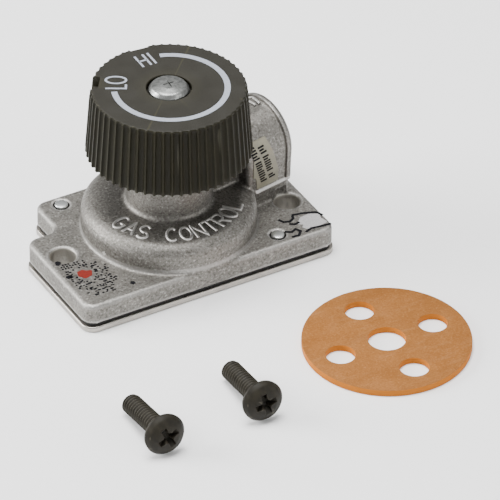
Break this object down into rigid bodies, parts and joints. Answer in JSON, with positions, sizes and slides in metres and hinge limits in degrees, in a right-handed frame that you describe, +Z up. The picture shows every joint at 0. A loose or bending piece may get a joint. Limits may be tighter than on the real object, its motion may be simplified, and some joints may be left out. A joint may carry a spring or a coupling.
{
  "type": "gas valve",
  "caption": "Die-cast throttling gas valve on a flat base plate, with a round dome, a threaded inlet boss, a large fluted HI/LO knob, a port gasket and mounting screws.",
  "frame": {"origin": "on the knob's axis, in the underside of the base plate", "axes": "+Z up along the knob's axis, +X along the long side of the base plate towards the inlet boss, +Y towards the notched side"},
  "size_m": [0.1144, 0.128, 0.0605],
  "materials": {
    "cast_aluminium": "as-cast, fine grey grain",
    "plated_steel": "bright zinc plate",
    "brass": "machined",
    "spring_steel": "drawn wire",
    "black_rubber": "matte",
    "knob_plastic": "fine moulded texture",
    "gasket_sheet": "tan sheet",
    "fibre": "pressed fibre",
    "black_steel": "black oxide, lightly oiled",
    "label_film": "printed film"
  },
  "bodies": {
    "body": {"valve_body": "cast_aluminium", "base_plate": "plated_steel", "base_gasket": "black_rubber", "rivet_rear_left": "plated_steel", "rivet_front_right": "plated_steel", "inlet_label": "label_film", "seat_ring": "brass", "spring_guide": "plated_steel", "return_spring": "spring_steel", "thrust_washer": "plated_steel", "bonnet_nut": "brass", "bonnet_gasket": "fibre", "stop_pin": "plated_steel", "mounting_gasket": "gasket_sheet", "mounting_screw_1": "black_steel", "mounting_screw_2": "black_steel"},
    "knob": {"knob": "knob_plastic", "knob_insert": "brass", "knob_lock_washer": "plated_steel", "knob_screw": "plated_steel", "stem": "brass", "stem_oring_lower": "black_rubber", "stem_oring_upper": "black_rubber", "retaining_clip": "spring_steel"},
    "poppet_train": {"lift_screw": "brass", "guide_plate": "plated_steel", "poppet": "brass", "poppet_seal": "black_rubber", "poppet_nut": "brass"}
  },
  "joints": [
    {"name": "knob_turn", "type": "hinge", "parent": "body", "child": "knob", "pos_m": [0, 0, 0.045], "axis": [0, 0, 1], "range_deg": [0, 305]},
    {"name": "poppet_lift", "type": "slide", "parent": "body", "child": "poppet_train", "axis": [0, 0, 1], "range_m": [0, 0.0042], "deforming": ["return_spring"]}
  ],
  "couplings": [
    {"joint": "knob_turn", "follows": "poppet_lift", "rad_per_m": 1267.4}
  ]
}
